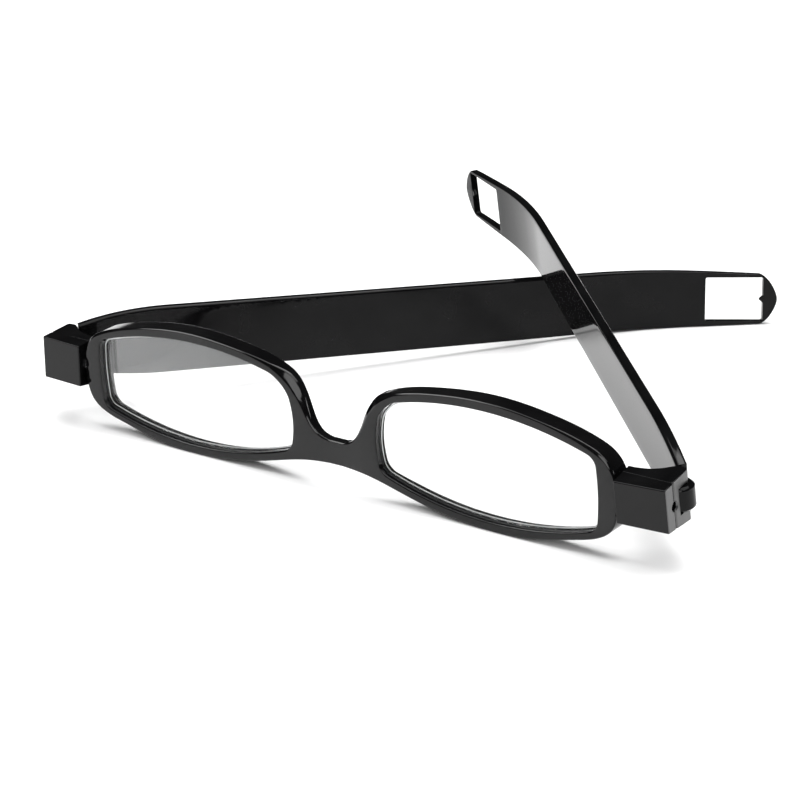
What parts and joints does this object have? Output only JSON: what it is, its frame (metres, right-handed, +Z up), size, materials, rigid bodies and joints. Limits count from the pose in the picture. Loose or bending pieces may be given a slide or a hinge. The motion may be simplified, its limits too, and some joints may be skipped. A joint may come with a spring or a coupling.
{
  "type": "folding reading glasses",
  "caption": "Slim black folding reading glasses with swivelling end blocks and flat temples that have a locking window near the tip.",
  "frame": {"origin": "on the surface the glasses lie on, under the middle of their bounding box", "axes": "+X along the front from the left end to the right end as seen from the front, +Y back from the lenses towards the temple tips, +Z up; the glasses lie upside down, nose notch up"},
  "size_m": [0.1434, 0.1137, 0.0278],
  "materials": {
    "frame_plastic": "glossy black injection-moulded plastic",
    "block_plastic": "glossy black injection-moulded plastic",
    "temple_plastic": "glossy black injection-moulded plastic",
    "lens_clear": "clear polished acrylic lens",
    "brass": "turned brass",
    "steel": "bright steel"
  },
  "bodies": {
    "front": {"front_frame": "frame_plastic", "left_lens": "lens_clear", "left_swivel_insert": "brass", "left_swivel_washer": "steel", "left_swivel_spring": "steel", "left_swivel_screw": "steel", "right_lens": "lens_clear", "right_swivel_insert": "brass", "right_swivel_washer": "steel", "right_swivel_spring": "steel", "right_swivel_screw": "steel"},
    "left_block": {"left_block_front_shell": "block_plastic", "left_block_rear_shell": "block_plastic", "left_hinge_pin": "steel"},
    "left_temple": {"left_temple": "temple_plastic"},
    "right_block": {"right_block_front_shell": "block_plastic", "right_block_rear_shell": "block_plastic", "right_hinge_pin": "steel"},
    "right_temple": {"right_temple": "temple_plastic"}
  },
  "joints": [
    {"name": "left_swivel", "type": "hinge", "parent": "front", "child": "left_block", "pos_m": [-0.0606, -0.05331, 0.01253], "axis": [1, 0, 0], "range_deg": [-335, 0]},
    {"name": "left_fold", "type": "hinge", "parent": "left_block", "child": "left_temple", "pos_m": [-0.0692, -0.04952, 0.01228], "axis": [0, 0.067, 0.9978], "range_deg": [0, 42]},
    {"name": "right_swivel", "type": "hinge", "parent": "front", "child": "right_block", "pos_m": [0.0606, -0.05331, 0.01253], "axis": [1, 0, 0], "range_deg": [0, 335]},
    {"name": "right_fold", "type": "hinge", "parent": "right_block", "child": "right_temple", "pos_m": [0.0692, -0.04953, 0.01294], "axis": [0, 0.1071, -0.9942], "range_deg": [0, 50]}
  ]
}
